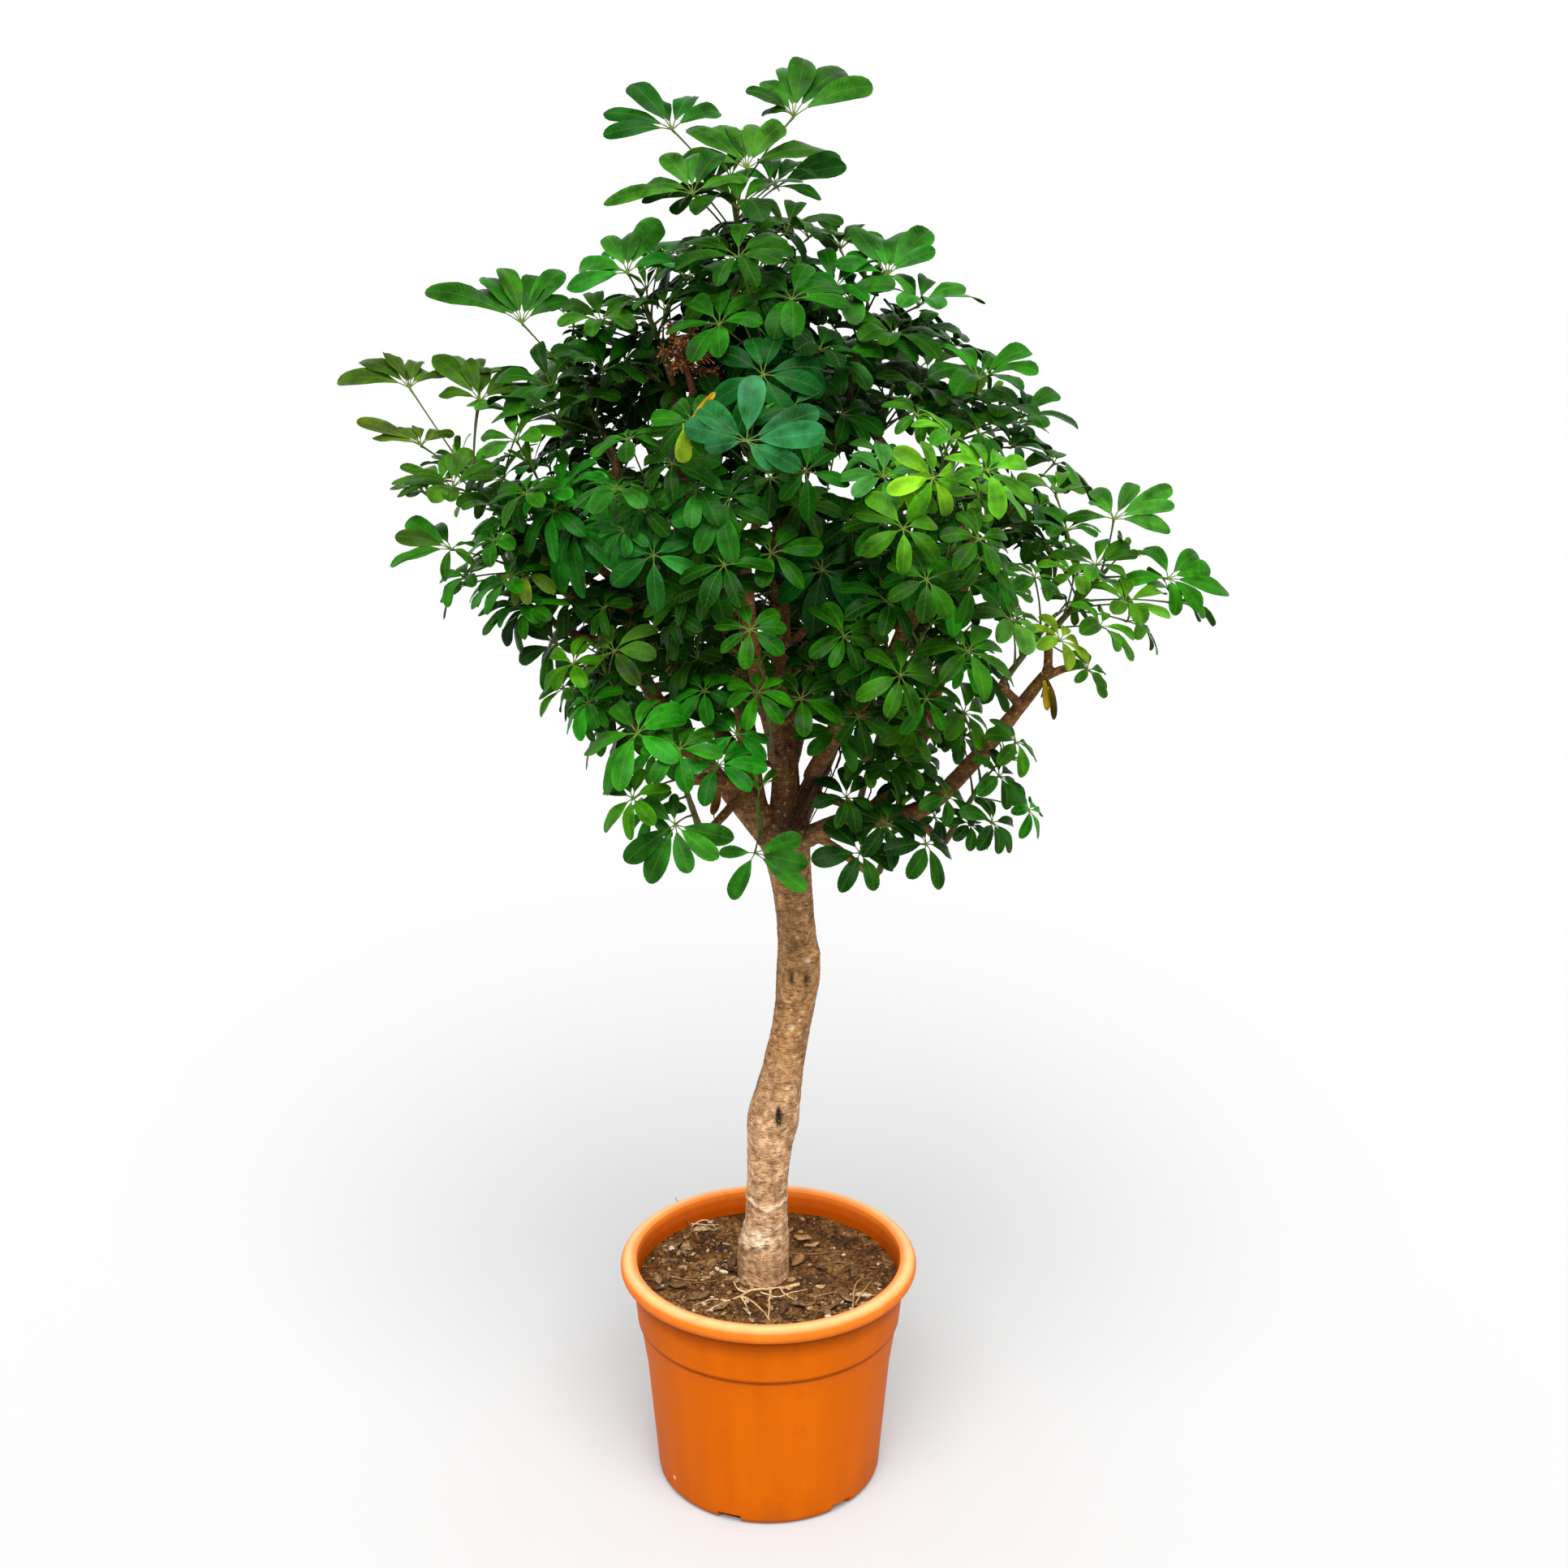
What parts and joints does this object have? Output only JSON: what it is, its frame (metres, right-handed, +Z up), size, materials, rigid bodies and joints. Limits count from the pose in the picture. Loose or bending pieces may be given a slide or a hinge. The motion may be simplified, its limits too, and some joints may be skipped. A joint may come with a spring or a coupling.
{
  "type": "potted umbrella plant",
  "caption": "Umbrella plant grown as a small tree, with a bare trunk and a wide leafy crown, standing in soil in a round plastic pot with a rolled rim.",
  "frame": {"origin": "centre of the pot's flat underside, where the plant stands on the floor", "axes": "+Z up along the trunk, -Y towards the viewer of the picture, +X to the viewer's right"},
  "size_m": [1.0833, 0.7699, 1.8556],
  "materials": {
    "pot_plastic": "satin moulded plastic, orange",
    "soil": "crumbly potting soil with bark and dry litter",
    "bark": "smooth tan-grey bark with scars",
    "dry_flower": "dry, brown and brittle",
    "leaf": "glossy green leaves on lighter stalks"
  },
  "bodies": {
    "root": {"pot": "pot_plastic", "shoot_back_high_left": "leaf", "shoot_back_high_right": "leaf", "shoot_back_left": "leaf", "shoot_back_low": "leaf", "shoot_back_low_left": "leaf", "shoot_back_low_right": "leaf", "shoot_back_mid_left": "leaf", "shoot_back_mid_right": "leaf", "shoot_back_middle": "leaf", "shoot_back_right": "leaf", "shoot_back_top": "leaf", "shoot_bright_right": "leaf", "shoot_centre_low": "leaf", "shoot_crown_top": "leaf", "shoot_fork_front": "leaf", "shoot_front_centre": "leaf", "shoot_front_left_mid": "leaf", "shoot_front_top": "leaf", "shoot_inner_centre": "leaf", "shoot_inner_right": "leaf", "shoot_left_far": "leaf", "shoot_left_high": "leaf", "shoot_left_inner": "leaf", "shoot_left_low": "leaf", "shoot_low_centre": "leaf", "shoot_low_left": "leaf", "shoot_low_left_outer": "leaf", "shoot_low_right": "leaf", "shoot_low_right_outer": "leaf", "shoot_right_far": "leaf", "shoot_right_low_front": "leaf", "shoot_right_mid": "leaf", "shoot_right_mid_front": "leaf", "shoot_right_upper": "leaf", "shoot_upper_left": "leaf", "shoot_upper_right": "leaf", "soil": "soil", "spent_flower": "dry_flower", "trunk_and_limbs": "bark"}
  },
  "joints": []
}
